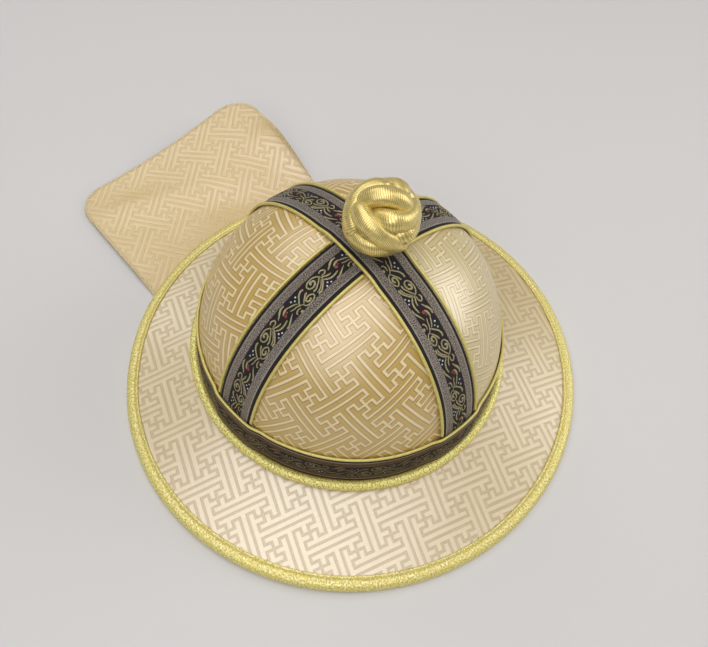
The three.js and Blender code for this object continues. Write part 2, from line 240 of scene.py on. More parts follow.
def key_fret_group():
    """Masks the fret's lines and their outlines, where painted shade goes, and gives their rounded
    height. One motif is five units wide, folded over and over by mirrors."""
    inputs = [("Unit across", 4.2), ("Unit along", 3.8), ("Half line", 0.17), ("Soft edge", 0.07)]
    tree, given, result = new_group("key_fret", inputs, ["Line", "Painted shade", "Height"])
    motif = 5.0
    folded = []
    for distance, unit in zip(across_and_along(given["Cloth"]), ("Unit across", "Unit along")):
        units = calc("DIVIDE", distance, given[unit])
        mirrored = calc("PINGPONG", calc("ADD", units, motif / 2), motif)
        folded.append(calc("SUBTRACT", mirrored, motif / 2))
    below = calc("LESS_THAN", folded[1], 0.0)
    turned = calc("MULTIPLY_ADD", below, -2.0, 1.0)
    x = calc("MULTIPLY", folded[0], turned)
    y = calc("ABSOLUTE", folded[1])
    nearest = None
    for line in fret_lines:
        off_x = calc("ABSOLUTE", calc("SUBTRACT", x, line["x"]))
        off_y = calc("ABSOLUTE", calc("SUBTRACT", y, line["y"]))
        past_x = calc("SUBTRACT", off_x, line["half_x"])
        past_y = calc("SUBTRACT", off_y, line["half_y"])
        distance = calc("MAXIMUM", past_x, past_y)
        nearest = distance if nearest is None else calc("MINIMUM", nearest, distance)
    inside = calc("SUBTRACT", given["Half line"], nearest)
    share = calc("DIVIDE", inside, given["Soft edge"])
    off_edge = calc("ABSOLUTE", calc("ADD", share, 0.9))
    put(ramp(share, -0.5, 0.5), result["Line"])
    put(ramp(off_edge, 0.9, 0.2), result["Painted shade"])
    put(ramp(share, -1.0, 0.8), result["Height"])
    return tree


def weave_group():
    """Threads of a woven cloth: their height, and slow streaks where a thread is thicker."""
    inputs = [("Thread across", 0.4), ("Thread along", 0.4)]
    tree, given, result = new_group("weave", inputs, ["Height", "Streaks"])
    place = given["Cloth"]
    waves = []
    for distance, pitch in zip(across_and_along(place), ("Thread across", "Thread along")):
        turns = calc("DIVIDE", distance, given[pitch])
        waves.append(calc("SINE", calc("MULTIPLY", turns, 2 * pi)))
    crossed = calc("MULTIPLY", *waves)
    put(calc("MULTIPLY_ADD", crossed, 0.5, 0.5), result["Height"])
    warp = speckle(place, 0.5, 14.0)
    weft = speckle(place, 9.0, 0.6)
    put(calc("MULTIPLY_ADD", calc("ADD", warp, weft), 1.6, -1.1), result["Streaks"])
    return tree


key_fret = key_fret_group()
weave = weave_group()


def cloth_material(name, base, **settings):
    """A Principled material in the colour base: the material, the shader's inputs with the given
    ones set, and the place on the cloth as a vector in millimetres."""
    material = bpy.data.materials.new(name)
    material.use_nodes = True
    tree = material.node_tree
    surface = tree.nodes["Principled BSDF"].inputs
    put(base, surface["Base Color"])
    for label, value in settings.items():
        put(value, surface[label.replace("_", " ")])
    laid = tree.nodes.new("ShaderNodeUVMap")
    laid.uv_map = "cloth"
    return material, surface, laid.outputs["UV"]


def use_group(group, place, **settings):
    """Puts a node group in a material and gives its outputs; the settings are its inputs."""
    node = add_node("ShaderNodeGroup", place)
    node.node_tree = group
    put(place, node.inputs["Cloth"])
    for label, value in settings.items():
        put(value, node.inputs[label.replace("_", " ")])
    return node.outputs


def add_bump(surface, height, distance):
    """Height in metres is the output's value times distance."""
    node = add_node("ShaderNodeBump", height)
    put(1.0, node.inputs["Strength"])
    put(distance, node.inputs["Distance"])
    put(height, node.inputs["Height"])
    put(node.outputs["Normal"], surface["Normal"])


def damask_material(name, ground, figure, sheen, figure_sheen, outline, half_line, depth):
    """Damask: a glossy satin ground, and the fret in matt weft floats that stand depth metres
    proud. Each piece has its own tones and sheen: lit and shaded copies of one damask, painted for
    the way the light falls on that piece."""
    material, surface, place = cloth_material(
        name, ground, Specular_IOR_Level=0.3, Coat_Roughness=0.36, Coat_IOR=2.9
    )
    fret = use_group(key_fret, place, Half_line=half_line)
    line = fret["Line"]
    # edge is painted shade along the fret's outlines: below, it mixes in fret_shadow and takes the
    # sheen out, for the shadow that the raised floats cast
    edge = calc("MULTIPLY", fret["Painted shade"], outline)
    threads = use_group(weave, place, Thread_across=0.36, Thread_along=0.36)
    streaks = ramp(threads["Streaks"], 0.0, 1.0, 0.93, 1.05)
    cloth = blend_colours(line, ground, figure)
    cloth = blend_colours(edge, cloth, fret_shadow)
    put(blend_colours(1.0, cloth, streaks, "MULTIPLY"), surface["Base Color"])
    matt = calc("MULTIPLY_ADD", line, 0.16, 0.38)
    put(calc("MULTIPLY_ADD", speckle(place, 6.0, 6.0), 0.08, matt), surface["Roughness"])
    shining = ramp(line, 0.0, 1.0, sheen, figure_sheen)
    put(calc("MULTIPLY", shining, calc("MULTIPLY_ADD", edge, -1.0, 1.0)), surface["Coat Weight"])
    add_bump(surface, calc("MULTIPLY_ADD", threads["Height"], 0.02, fret["Height"]), depth)
    return material


def backing_material():
    """The stiff cloth under the damask, seen only from inside and below: plain cream weave, with
    painted shade where its threads dip.
    """
    material, surface, place = cloth_material("cream_backing", (0.62, 0.54, 0.40), Roughness=0.85)
    height = use_group(weave, place, Thread_across=0.9, Thread_along=0.9)["Height"]
    painted_dip_shade = ramp(height, 0.0, 1.0)
    put(blend_colours(painted_dip_shade, (0.52, 0.44, 0.31), (0.66, 0.58, 0.44)), surface["Base Color"])
    add_bump(surface, height, 0.00012)
    return material


satin_gold = (0.54, 0.355, 0.066)
fret_shadow = (0.34, 0.205, 0.045)
damask = damask_material(
    "damask_crown", satin_gold, (0.82, 0.66, 0.38),
    sheen=0.68, figure_sheen=0.35, outline=0.25, half_line=0.18, depth=0.0006,
)
# The front-right gore's damask is the crown's with a paler ground and figure: painted sheen, for
# the light from the right that falls on it
sheen_painted_damask = damask_material(
    "damask_crown_sheen_painted", (0.60, 0.475, 0.20), (0.78, 0.66, 0.38),
    sheen=0.8, figure_sheen=0.5, outline=0.4, half_line=0.17, depth=0.0007,
)
backing = backing_material()


def dome_profile(turn, stand_off):
    """The dome's distance from its axis and its height; turn is 0 at the foot and 1 on top."""
    angle = turn * pi / 2
    out = max(0.0, cos(angle)) ** (2 / side_squareness)
    up = sin(angle) ** (2 / top_squareness)
    rise = crown_top - crown_foot + stand_off
    return (crown_radius + stand_off) * out, crown_foot + rise * up


def lengths_along(path):
    """The distance from the path's start at each of its points."""
    lengths = [0.0]
    for first, second in zip(path, path[1:]):
        lengths.append(lengths[-1] + dist(first, second))
    return lengths


def crown_gore(gore):
    """One gore, a quarter of the dome from its foot to its top."""
    half_angle = radians(45) - seam_gap / 2 / crown_radius
    steps = 72
    profile = [dome_profile(j / steps, 0) for j in range(steps + 1)]
    lengths = lengths_along(profile)

    def point_at(u, v, side):
        radius, height = dome_profile(v, -side * crown_wall)
        angle = radians(gore["faces"]) + (2 * u - 1) * half_angle
        return radius * cos(angle), radius * sin(angle), height

    def place_at(u, v):
        row = round(v * steps)
        across = profile[row][0] * (2 * u - 1) * half_angle
        return on_cloth(gore["node"], across, lengths[row])

    points, faces = sheet(48, steps, point_at, place_at)
    face = sheen_painted_damask if gore["pale"] else damask
    build(gore["node"] + "_cloth", points, faces, [face, backing], [gore["node"]])


for gore in crown_gores:
    crown_gore(gore)

# Ribbons: woven brocade trim over the crown's seams. It has black selvedges, drawn wider to
# hold painted shade beside the piping, two silver-grey borders and a black middle, on which gold
# scrolls with red and white dots are woven in.

ribbon_width = 23.0
ribbon_cloth = 0.8
middle_half = 5.3
# Width of the black selvedge band: the real selvedge and painted shade beside the piping
selvedge_and_shade = 1.5
repeat = 35.0
ribbon_end = 24.0
climb_height = 1.25
stroke_edge = 0.02
stroke_ridge = 0.16
dot_peak = 0.2
front_back_ribbon = {"shift": 0.4, "turn": -1.0, "climbs": True, "start": 21.3}
side_ribbon = {"shift": -3.1, "turn": 91.9, "climbs": False, "start": 21.0}

# One repeat of the scrolls, as the woven strokes' middle lines: along and across the ribbon, with
# the stroke's width, in millimetres. The red dot of the repeat is at (0, 0).
scroll_strokes = [
    {
        "width": (0.9, 1.2, 0.4),
        "line": [(-3.0, 4.3), (-0.6, 4.3), (1.2, 3.4), (2.8, 2.3), (4.3, 1.3)],
    },
    {"width": (0.7, 1.2, 0.5), "line": [(-3.6, 2.0), (-1.8, 2.1), (-0.2, 1.6), (1.0, 0.9)]},
    {
        "width": (0.4, 0.9, 0.6),
        "line": [(-3.4, -1.9), (-1.4, -2.9), (0.6, -4.1), (2.4, -4.8), (4.3, -5.0)],
    },
    {
        "width": (0.7, 0.9, 0.7),
        "line": [(0.9, -2.1), (3.0, -2.7), (5.4, -2.8), (7.4, -2.1), (9.2, -0.8)],
    },
    {"width": (0.7, 0.8, 0.6), "line": [(4.2, -0.7), (6.0, -0.6), (7.9, 0.2), (9.6, 1.2)]},
    {
        "width": (0.8, 0.8, 0.6),
        "line": [(8.9, 3.1), (7.5, 3.9), (6.0, 3.3), (5.6, 2.2), (6.8, 1.4), (8.8, 1.4)],
    },
    {
        "width": (0.7, 0.75, 1.3),
        "line": [
            (9.4, 1.2), (10.6, 2.8), (12.6, 3.8), (15.0, 4.0), (17.3, 3.1), (17.9, 1.5),
            (17.0, 0.2), (15.2, -0.1), (13.6, 0.7), (13.1, 2.0), (14.2, 2.8), (15.4, 2.4),
            (15.0, 1.5),
        ],
    },
    {
        "width": (0.7, 0.7, 0.9),
        "line": [(10.0, 1.7), (11.5, 0.3), (13.4, -0.9), (15.3, -1.8), (17.2, -1.9)],
    },
    {
        "width": (0.7, 0.8, 1.0),
        "line": [(9.0, 0.5), (10.0, -1.3), (12.0, -3.2), (14.0, -4.4), (16.1, -4.6)],
    },
    {"width": (0.6, 0.6, 0.7), "line": [(9.8, 0.4), (11.8, -1.9), (13.8, -3.2), (16.0, -3.6)]},
    {
        "width": (1.1, 0.8, 0.6),
        "line": [(19.7, 2.8), (21.5, 3.0), (23.5, 2.0), (25.0, 0.4), (26.4, -1.4), (27.0, -2.2)],
    },
    {"width": (1.1, 0.7, 0.5), "line": [(19.6, 0.5), (21.5, -0.4), (23.2, -1.6), (24.6, -2.9)]},
    {
        "width": (0.6, 0.75, 1.2),
        "line": [
            (25.2, -2.6), (24.2, -4.4), (22.0, -5.1), (19.8, -4.8), (17.9, -3.7), (18.3, -2.4),
            (19.9, -1.5), (21.8, -1.7), (22.7, -2.8), (21.8, -3.8), (20.5, -3.6), (20.4, -2.9),
        ],
    },
    {
        "width": (0.5, 0.6, 0.5),
        "line": [(24.4, -3.2), (26.4, -2.0), (28.0, -1.3), (30.0, -1.0), (32.0, -0.3)],
    },
    {"width": (0.5, 0.7, 0.7), "line": [(26.6, -0.6), (28.0, 0.4), (30.0, 1.2), (31.6, 1.9)]},
    {"width": (0.5, 0.8, 0.6), "line": [(26.8, -3.2), (28.8, -2.9), (30.3, -3.7), (30.1, -4.6)]},
    {"width": (1.2, 1.4, 1.2), "line": [(26.9, -4.8), (27.7, -4.9), (28.5, -4.8)]},
]
red_dots = [
    {"along": 0.1, "across": 0.0, "radius": 0.95},
    {"along": 33.4, "across": 0.6, "radius": 0.5},
]
white_dots = [
    {"along": 25.2, "across": 2.8, "radius": 0.5},
    {"along": 28.4, "across": 2.8, "radius": 0.5},
    {"along": 26.7, "across": 1.6, "radius": 0.42},
    {"along": 8.9, "across": -3.3, "radius": 0.5},
    {"along": 7.3, "across": -4.4, "radius": 0.45},
    {"along": 10.3, "across": -4.6, "radius": 0.5},
]


def ribbon_material(name, border_dark, border_light):
    """The ribbon's ground: its bands are told apart by the distance from its middle line."""
    material, surface, place = cloth_material(name, (0.02, 0.017, 0.014), Specular_IOR_Level=0.25)
    off_middle = calc("ABSOLUTE", across_and_along(place)[1])
    wavering = calc("MULTIPLY_ADD", speckle(place, 0.7, 0.7), 0.3, off_middle)
    border_end = ribbon_width / 2 - selvedge_and_shade
    after_middle = ramp(wavering, middle_half, middle_half + 0.25)
    border = calc("MULTIPLY", after_middle, ramp(wavering, border_end + 0.2, border_end))
    after_border = ramp(wavering, border_end - 0.7, border_end - 0.5)
    before_end = ramp(wavering, border_end + 0.1, border_end - 0.1)
    bright_line = calc("MULTIPLY", after_border, before_end)
    grains = ramp(speckle(place, 0.62, 0.42), 0.4, 0.6)
    silver = blend_colours(grains, border_dark, border_light)
    silver = blend_colours(bright_line, silver, (0.42, 0.385, 0.34))
    tints = ramp(speckle(place, 5.0, 4.0), 0.42, 0.6)
    middle = blend_colours(tints, (0.016, 0.020, 0.012), (0.026, 0.014, 0.024))
    put(blend_colours(border, middle, silver), surface["Base Color"])
    put(ramp(border, 0.0, 1.0, 0.7, 0.42), surface["Roughness"])
    put(calc("MULTIPLY", border, 0.6), surface["Metallic"])
    threads = use_group(weave, place, Thread_across=0.45, Thread_along=0.45)
    add_bump(surface, calc("MULTIPLY_ADD", grains, 0.8, threads["Height"]), 0.00016)
    return material


def thread_material(name, dark, light, metallic):
    """Thread of a woven stroke or a stitch, in its light colour where it rises and in dark dashes
    of painted shade where it dips.
    """
    material, surface, place = cloth_material(name, light, Roughness=0.45, Metallic=metallic)
    dashes = ramp(speckle(place, 0.35, 0.6), 0.35, 0.62)
    # Painted shade: the dashes darken the thread where its bump dips
    put(blend_colours(dashes, dark, light), surface["Base Color"])
    add_bump(surface, dashes, 0.00008)
    return material


ribbon_ground = ribbon_material("brocade_ground", (0.06, 0.048, 0.038), (0.46, 0.41, 0.36))
ribbon_threads = [
    thread_material("scroll_gold", (0.11, 0.09, 0.035), (0.50, 0.44, 0.24), 0.2),
    thread_material("dot_red", (0.16, 0.012, 0.014), (0.36, 0.04, 0.045), 0.0),
    thread_material("dot_white", (0.26, 0.30, 0.34), (0.66, 0.70, 0.76), 0.0),
]


def dome_point(sideways, angle, stand_off):
    """The point of the dome, standing off it, that a ray from the foot's middle meets. The ray
    stays at the given sideways place and leans from straight up by angle."""
    radius = crown_radius + stand_off
    rise = crown_top - crown_foot + stand_off
    near = 0.0
    far = radius + rise
    for _ in range(26):
        reach = (near + far) / 2
        out = hypot(sideways, reach * sin(angle)) / radius
        up = reach * cos(angle) / rise
        if out**side_squareness + up**top_squareness < 1:
            near = reach
        else:
            far = reach
    return sideways, near * sin(angle), crown_foot + near * cos(angle)


def crown_radius_at(height):
    """The radius of the crown's outer face at a height."""
    up = (height - crown_foot) / (crown_top - crown_foot)
    return crown_radius * (1 - up**top_squareness) ** (1 / side_squareness)


def angle_at_height(sideways, height):
    """How far a ray at a sideways place leans where it meets the dome at a height."""
    along = sqrt(crown_radius_at(height) ** 2 - sideways**2)
    return atan2(along, height - crown_foot)


def smooth(value, low, high):
    """Eases from 0 at low to 1 at high."""
    share = min(1.0, max(0.0, (value - low) / (high - low)))
    return share * share * (3 - 2 * share)


def climb(along):
    """How far the upper ribbon is lifted over the lower one where they cross."""
    clear = ribbon_width / 2 + 4
    return climb_height * (1 - smooth(abs(along - side_ribbon["shift"]), clear, clear + 9))


def turned(point, degrees):
    """The point turned round the crown's axis."""
    turn = radians(degrees)
    x, y, z = point
    return x * cos(turn) - y * sin(turn), x * sin(turn) + y * cos(turn), z


def arc_table(shift):
    """Angles along a ribbon's middle line with the arc length from the top at each."""
    half_steps = 120
    end = angle_at_height(shift, ribbon_end)
    angles = [end * (i / half_steps - 1) for i in range(2 * half_steps + 1)]
    lengths = lengths_along([dome_point(shift, angle, seam_gap) for angle in angles])
    return angles, [length - lengths[half_steps] for length in lengths]


def look_up(value, keys, values):
    """Reads values at a place between the rising keys, on straight lines."""
    low = 0
    high = len(keys) - 1
    while high - low > 1:
        middle = (low + high) // 2
        if keys[middle] > value:
            high = middle
        else:
            low = middle
    share = (value - keys[low]) / (keys[high] - keys[low])
    return values[low] + min(1.0, max(0.0, share)) * (values[high] - values[low])


def over_dome(lay, across, angle, stand_off):
    """The point across from a ribbon's middle line, standing off the crown; the upper ribbon and
    its piping are lifted over the lower one."""
    sideways = lay["shift"] + across
    if lay["climbs"]:
        stand_off += climb(dome_point(sideways, angle, seam_gap)[1])
    return turned(dome_point(sideways, angle, stand_off), lay["turn"])


def ribbon_surface(lay):
    """A function that gives the point of a ribbon from its place along and across, and height."""
    angles, lengths = arc_table(lay["shift"])

    def surface_at(along, across, height):
        # The selvedges end level with the middle, although they start further down the dome
        end = angle_at_height(lay["shift"], ribbon_end)
        wider = angle_at_height(lay["shift"] + across, ribbon_end) / end
        angle = look_up(along, lengths, angles) * wider
        return over_dome(lay, across, angle, seam_gap + 0.05 + height)

    return surface_at, (lengths[0], lengths[-1])


def curve_value(t, a, b, c, d):
    """Goes smoothly from b to c as t goes from 0 to 1; a comes before them and d after."""
    bend = 2 * a - 5 * b + 4 * c - d
    twist = 3 * b - a - 3 * c + d
    return 0.5 * (2 * b + (c - a) * t + bend * t * t + twist * t**3)


def smooth_line(line, steps):
    """Points on a smooth curve through the line's points."""
    padded = [line[0], *line, line[-1]]
    made = []
    for four in zip(padded, padded[1:], padded[2:], padded[3:]):
        for k in range(steps):
            made.append(tuple(curve_value(k / steps, *values) for values in zip(*four)))
    made.append(tuple(line[-1]))
    return made


def add_stroke(points, faces, surface_at, line, widths, kind, start):
    """A woven stroke that lies on the ribbon: low at both edges, highest along its middle."""
    first = len(points)
    count = len(line)
    for i, (along, across) in enumerate(line):
        before = line[max(0, i - 1)]
        after = line[min(count - 1, i + 1)]
        run = dist(before, after) or 1.0
        side = ((before[1] - after[1]) / run, (after[0] - before[0]) / run)
        share = 2 * i / (count - 1)
        width = widths[0] + (widths[1] - widths[0]) * share
        if share > 1:
            width = widths[1] + (widths[2] - widths[1]) * (share - 1)
        ends = min(i, count - 1 - i)
        half = 0.5 * width * (0.45 if ends == 0 else 0.85 if ends == 1 else 1.0)
        section = ((-half, stroke_edge), (0.0, stroke_ridge), (half, stroke_edge))
        for across_stroke, height in section:
            place_along = start + along + across_stroke * side[0]
            points.append(surface_at(place_along, across + across_stroke * side[1], height))
    for i in range(count - 1):
        for k in range(2):
            places = [(k, i), (k, i + 1), (k + 1, i + 1), (k + 1, i)]
            faces.append(([(first + 3 * b + a, (0.4 * a, 0.5 * b)) for a, b in places], kind))


def add_dot(points, faces, surface_at, along, across, radius, kind):
    """A woven dot that lies on the ribbon, highest in its middle."""
    centre = len(points)
    sides = 8
    points.append(surface_at(along, across, dot_peak))
    for k in range(sides):
        turn = 2 * pi * k / sides
        ahead = radius * cos(turn)
        aside = radius * sin(turn)
        points.append(surface_at(along + ahead, across + aside, stroke_edge))
    for k in range(sides):
        corners = [centre, centre + 1 + k, centre + 1 + (k + 1) % sides]
        faces.append(([(c, (along, across + 0.1 * c)) for c in corners], kind))


def woven_scrolls(name, surface_at, first, last, start, period, threads):
    """The scrolls of a ribbon from first to last millimetres along it."""
    points = []
    faces = []

    def on_top(along, across, height):
        return surface_at(along, across, ribbon_cloth + height)

    number = floor((first - start) / period)
    while start + number * period < last:
        begin = start + number * period
        for stroke in scroll_strokes:
            line = smooth_line(stroke["line"], 3)
            line = [(x * period / repeat, y) for x, y in line]
            kept = [p for p in line if first + 0.8 < begin + p[0] < last - 0.8]
            if len(kept) == len(line):
                add_stroke(points, faces, on_top, line, stroke["width"], 0, begin)
        for kind, dots in ((1, red_dots), (2, white_dots)):
            for dot in dots:
                along = begin + dot["along"] * period / repeat
                if first + 1 < along < last - 1:
                    add_dot(points, faces, on_top, along, dot["across"], dot["radius"], kind)
        number += 1
    build(name, points, faces, threads, crease=60)


def ribbon(node, lay):
    """One ribbon over the crown, and the scrolls woven into it."""
    surface_at, (first, last) = ribbon_surface(lay)

    def point_at(u, v, side):
        along = first + (last - first) * u
        return surface_at(along, (v - 0.5) * ribbon_width, (1 - side) * ribbon_cloth)

    def place_at(u, v):
        return first + (last - first) * u, (v - 0.5) * ribbon_width

    points, faces = sheet(150, 10, point_at, place_at)
    build(node + "_cloth", points, faces, [ribbon_ground, ribbon_ground], [node])
    woven_scrolls(node + "_scrolls", surface_at, first, last, lay["start"], repeat, ribbon_threads)


ribbon("ribbon_front_back", front_back_ribbon)
ribbon("ribbon_side", side_ribbon)

# Piping: a thin cord wrapped in a bias strip of gold satin, sewn along both edges of each ribbon
# from the hat band up. The lower ribbon's piping stops where the upper ribbon crosses it.

piping_radius = 1.0
piping_drawn_in = 0.87
piping_end = 48.6
piping_place = ribbon_width / 2 + seam_gap + piping_radius


def skin(rings, sides, around, along, closed=False):
    """Faces between outlines that follow each other, with the way round and along as cloth."""
    faces = []
    for i in range(rings if closed else rings - 1):
        for k in range(sides):
            ends = [(i, k), (i, k + 1), (i + 1, k + 1), (i + 1, k)]
            corners = [((a % rings) * sides + b % sides, (around[b], along[a])) for a, b in ends]
            faces.append((corners, 0))
    return faces


def tube(path, radius_at, sides, closed=False, squash=1.0, up_at=None):
    """A cord along a path, whose radius is radius_at(share) where that share of it is behind. The
    place on the cloth is the way round it and the way along it, in millimetres."""
    count = len(path)
    vectors = [Vector(p) for p in path]
    lengths = lengths_along([*vectors, vectors[0]])
    points = []
    up = None
    for i, centre in enumerate(vectors):
        ahead = vectors[(i + 1) % count] if closed or i < count - 1 else centre
        behind = vectors[i - 1] if closed or i > 0 else centre
        forward = (ahead - behind).normalized()
        if up_at:
            up = up_at(i)
        elif up is None:
            up = Vector((0, 0, 1)) if abs(forward.z) < 0.9 else Vector((1, 0, 0))
        up = (up - forward * up.dot(forward)).normalized()
        side = forward.cross(up)
        share = i / count if closed else i / (count - 1)
        radius = radius_at(share)
        for k in range(sides):
            turn = 2 * pi * k / sides
            offset = side * (radius * cos(turn)) + up * (radius * squash * sin(turn))
            points.append(tuple(centre + offset))
    step = 2 * pi * radius_at(0.5) / sides
    around = [step * k for k in range(sides + 1)]
    faces = skin(count, sides, around, lengths, closed)
    if not closed:
        for ring, order in ((0, range(sides - 1, -1, -1)), (count - 1, range(sides))):
            faces.append(([(ring * sides + k, (around[k], lengths[ring])) for k in order], 0))
    return points, faces


def satin_material(name, dark, light, rib, rib_depth, **settings):
    """Gold satin cut on the bias round a cord: fine ribs across it, with painted shade in their
    grooves, and a soft change of tone.
    """
    material, surface, place = cloth_material(name, light, **settings)
    across, along = across_and_along(place)
    bent = calc("MULTIPLY_ADD", speckle(place, 3.0, 3.0), 0.9, along)
    slanted = calc("MULTIPLY_ADD", across, 0.12, bent)
    wave = calc("SINE", calc("MULTIPLY", slanted, 2 * pi / rib))
    ribs = calc("MULTIPLY_ADD", wave, 0.5, 0.5)
    # The colour is partly a soft random change of tone and partly painted shade in the ribs'
    # grooves
    tone_and_rib_shade = calc("MULTIPLY_ADD", speckle(place, 1.6, 2.5), 0.6, calc("MULTIPLY", ribs, 0.4))
    put(blend_colours(ramp(tone_and_rib_shade, 0.25, 0.75), dark, light), surface["Base Color"])
    add_bump(surface, ribs, rib_depth)
    return material


piping_satin = satin_material(
    "gold_satin_piping", (0.52, 0.42, 0.08), (0.76, 0.67, 0.21),
    rib=0.8, rib_depth=0.00004, Roughness=0.38, Metallic=0.2, IOR=1.8,
)


def piping(name, lay, across, first_angle, last_angle):
    """One length of piping beside a ribbon, from one angle over the dome to another."""
    path = []
    steps = 90
    for i in range(steps + 1):
        angle = first_angle + (last_angle - first_angle) * i / steps
        path.append(over_dome(lay, across, angle, seam_gap + 0.1 + piping_radius))

    def radius_at(share):
        lump = noise.noise(Vector((60 * share, across, lay["turn"])))
        return piping_drawn_in * piping_radius * (1 + 0.07 * lump)

    points, faces = tube(path, radius_at, 12)
    build(name + "_satin", points, faces, [piping_satin], [name])


for side, sign in (("left", -1), ("right", 1)):
    end = angle_at_height(front_back_ribbon["shift"] + sign * piping_place, piping_end)
    piping(f"piping_front_back_{side}", front_back_ribbon, sign * piping_place, -end, end)

skew = radians(side_ribbon["turn"] - 90 - front_back_ribbon["turn"])
for row, edge in (("front", -1), ("back", 1)):
    for side, sign in (("left", 1), ("right", -1)):
        place = side_ribbon["shift"] + edge * piping_place
        crossing = -front_back_ribbon["shift"] - place * tan(skew)
        along = sign * (piping_place + 2 * piping_radius - 0.3) + crossing
        start = atan2(along, dome_point(place, 0, 0)[2] - crown_foot)
        end = sign * angle_at_height(place, piping_end)
        piping(f"piping_side_{row}_{side}", side_ribbon, edge * piping_place, start, end)

# Brim: one flat piece of damask over a stiff plate, sloping gently down from the crown's foot to
# an oval edge. The oval sits forward of the crown, so that the brim is widest over the face.

binding_low, binding_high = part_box("brim_binding")
brim_half_width = 500 * (binding_high.x - binding_low.x) + 0.2
brim_half_length = 500 * (binding_high.y - binding_low.y)
brim_forward = crown_y - 500 * (binding_high.y + binding_low.y)
brim_thickness = 3.0
brim_inner_top = 16.0
brim_edge_top = 4.6
brim_inner_radius = crown_radius + seam_gap + 0.2
binding_channel = 1.6
flap_cloth = 1.5


def brim_reach(angle):
    """Distance from the crown's axis to the oval; angle turns from straight back towards +X."""
    x = sin(angle) / brim_half_width
    y = cos(angle) / brim_half_length
    shift = -brim_forward / brim_half_length
    a = x * x + y * y
    b = -y * shift
    c = shift * shift - 1
    return (-b + sqrt(b * b - a * c)) / a


def edge_lift(angle):
    """The brim's edge is lifted where the flap passes under it."""
    from_back = abs(atan2(sin(angle), cos(angle)))
    return (flap_cloth + 2 * seam_gap - 0.1) * (1 - smooth(from_back, 0.66, 1.05))


def brim_top(angle, radius):
    """Height of the brim's face."""
    share = (radius - brim_inner_radius) / (brim_reach(angle) - brim_inner_radius)
    eased = share + 0.04 * sin(pi * share)
    return brim_inner_top + (brim_edge_top + edge_lift(angle) - brim_inner_top) * eased


def polar(angle, radius, height):
    """A point from its angle round the hat, its distance from the crown's axis and its height."""
    return radius * sin(angle), radius * cos(angle), height


def brim_point(u, v, side):
    """A point of the brim's face, side 0, or its back, side 1."""
    angle = 2 * pi * u
    edge = brim_reach(angle) - binding_channel - seam_gap
    radius = brim_inner_radius + (edge - brim_inner_radius) * v
    # Stiffened cloth is never quite even: the hand's rise and fall shows in its sheen
    swell = 0.18 * noise.noise(Vector(polar(angle, radius, 0.0)) / 26) * sin(pi * v)
    return polar(angle, radius, brim_top(angle, radius) - side * brim_thickness + swell)


def brim_place(u, v):
    """Where it is on the flat cloth."""
    x, y, z = brim_point(u % 1, v, 0)
    return on_cloth("brim", x, y)


points, faces = sheet(240, 22, brim_point, brim_place, closed=True)
# The brim's damask has a paler ground and a darker figure than the crown's: painted sheen, for the
# light that falls on the brim from overhead
brim_damask = damask_material(
    "damask_brim", (0.66, 0.52, 0.26), (0.60, 0.46, 0.24),
    sheen=1.0, figure_sheen=0.5, outline=0.25, half_line=0.13, depth=0.0006,
)
build("brim_cloth", points, faces, [brim_damask, backing], ["brim"])

# Brim binding: a strip of glittering gold cloth folded over the brim's edge and machine-stitched
# near its inner fold, where the stitches pull the cloth down into a groove.

binding_width = 7.5
stitch_count = 290
binding_cloth = 1.0
binding_foot = 3.2
binding_groove = 1.7
binding_thread_radius = 0.34


def metal_cloth_material(name, dark, light, painted_glint):
    """Cloth of flat metal threads: each short float throws the light its own way, and the highest
    floats also have a painted glint in their colour.
    """
    material, surface, place = cloth_material(name, light, Metallic=0.3, IOR=1.9)
    floats = speckle(place, 1.1, 0.9, detail=4.0)
    sparks = ramp(floats, 0.56, 0.64)
    base = blend_colours(ramp(floats, 0.38, 0.56), dark, light)
    # Painted glint: the floats that sparkle get the near-white glint colour in their base colour,
    # besides a lower roughness
    put(blend_colours(sparks, base, painted_glint), surface["Base Color"])
    put(ramp(sparks, 0.0, 1.0, 0.46, 0.24), surface["Roughness"])
    add_bump(surface, floats, 0.00045)
    return material


binding_metal_cloth = metal_cloth_material(
    "gold_metal_cloth",
    dark=(0.55, 0.45, 0.08), light=(0.82, 0.72, 0.22), painted_glint=(1.0, 0.97, 0.66),
)


